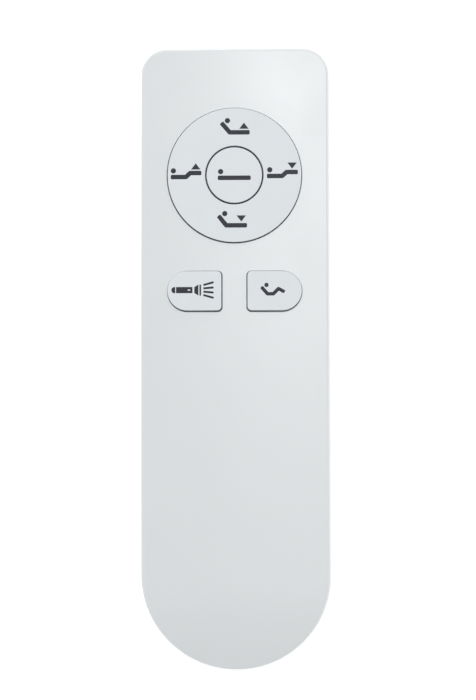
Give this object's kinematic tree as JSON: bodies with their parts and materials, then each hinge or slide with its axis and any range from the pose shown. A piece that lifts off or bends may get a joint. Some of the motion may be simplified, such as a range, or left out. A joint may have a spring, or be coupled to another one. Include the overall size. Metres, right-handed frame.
{
  "type": "bed remote control",
  "caption": "Slim white wireless hand control for an adjustable bed: crowned face, round direction ring with a middle button, two D-shaped keys, end torch and battery door.",
  "frame": {"origin": "middle of the outline, on the flat back that the control lies on", "axes": "+Z out of the key face, +Y towards the torch end, +X to the right when reading the keys"},
  "size_m": [0.046, 0.1506, 0.0178],
  "materials": {
    "shell": "satin white moulded ABS",
    "keys": "matte pale grey moulded plastic",
    "legend_ink": "dark blue-grey inlaid legend",
    "lens_clear": "clear polished polycarbonate",
    "reflector": "vacuum-metallised bowl",
    "led_epoxy": "water-clear epoxy over a pale yellow phosphor",
    "leg_tin": "tinned leads",
    "screw_steel": "zinc-plated steel",
    "contact_nickel": "nickel-plated spring steel",
    "silicone": "translucent pale grey silicone",
    "rocker_plastic": "natural moulded acetal",
    "carbon": "conductive carbon rubber",
    "board_laminate": "green solder mask on glass-fibre laminate",
    "gold_foil": "gold-flashed copper",
    "copper_foil": "copper under solder mask",
    "chip_black": "black moulded epoxy",
    "crystal_can": "nickel silver can",
    "capacitor_ceramic": "tan ceramic with tinned ends",
    "resistor_black": "black glazed film with tinned ends",
    "capacitor_can": "sleeved aluminium can",
    "cell_can": "plain printed sleeve on a metal can",
    "lead_pvc": "black PVC insulation"
  },
  "bodies": {
    "root": {"front_shell": "shell", "rear_shell": "shell", "housing_screws": "screw_steel", "board_screws": "screw_steel", "torch_lens": "lens_clear", "torch_reflector": "reflector", "torch_led": "led_epoxy", "torch_led_legs": "leg_tin", "keypad_mat": "silicone", "circuit_board": "board_laminate", "contact_pads": "gold_foil", "antenna_trace": "copper_foil", "controller_chip": "chip_black", "radio_chip": "chip_black", "crystal": "crystal_can", "chip_capacitors": "capacitor_ceramic", "chip_resistors": "resistor_black", "bulk_capacitor": "capacitor_can", "battery_cell_1": "cell_can", "battery_cell_2": "cell_can", "battery_cell_3": "cell_can", "positive_terminal": "contact_nickel", "upper_bridge_contact": "contact_nickel", "lower_bridge_contact": "contact_nickel", "negative_terminal": "contact_nickel", "battery_springs": "contact_nickel", "negative_lead": "lead_pvc"},
    "rocker": {"ring_rocker": "rocker_plastic"},
    "ring": {"direction_ring": "keys", "direction_legends": "legend_ink", "ring_plungers": "silicone", "ring_pills": "carbon"},
    "flat_key": {"flat_button": "keys", "flat_legend": "legend_ink", "flat_plunger": "silicone", "flat_pill": "carbon"},
    "torch_key": {"torch_button": "keys", "torch_legend": "legend_ink", "torch_plunger": "silicone", "torch_pill": "carbon"},
    "zero_gravity_key": {"zero_gravity_button": "keys", "zero_gravity_legend": "legend_ink", "zero_gravity_plunger": "silicone", "zero_gravity_pill": "carbon"},
    "door": {"battery_door": "shell"}
  },
  "joints": [
    {"name": "ring_tilt_sideways", "type": "hinge", "parent": "root", "child": "rocker", "pos_m": [0, 0.0446, 0.0146], "axis": [0, 1, 0], "range_deg": [-1.6, 1.6], "stiffness_Nm_per_rad": 0.4},
    {"name": "ring_tilt_lengthways", "type": "hinge", "parent": "rocker", "child": "ring", "pos_m": [0, 0.0446, 0.01608], "axis": [1, 0, 0], "range_deg": [-1.6, 1.6], "stiffness_Nm_per_rad": 0.4},
    {"name": "flat_press", "type": "slide", "parent": "root", "child": "flat_key", "axis": [0, 0, -1], "range_m": [0, 0.0008], "stiffness_N_per_m": 800, "springref_m": -0.0005},
    {"name": "torch_press", "type": "slide", "parent": "root", "child": "torch_key", "axis": [0, 0, -1], "range_m": [0, 0.0008], "stiffness_N_per_m": 800, "springref_m": -0.0005},
    {"name": "zero_gravity_press", "type": "slide", "parent": "root", "child": "zero_gravity_key", "axis": [0, 0, -1], "range_m": [0, 0.0008], "stiffness_N_per_m": 800, "springref_m": -0.0005},
    {"name": "door_hinge", "type": "hinge", "parent": "root", "child": "door", "pos_m": [0, -0.00845, 0.0008], "axis": [1, 0, 0], "range_deg": [0, 75], "stiffness_Nm_per_rad": 0.02, "springref_deg": -11.46}
  ]
}
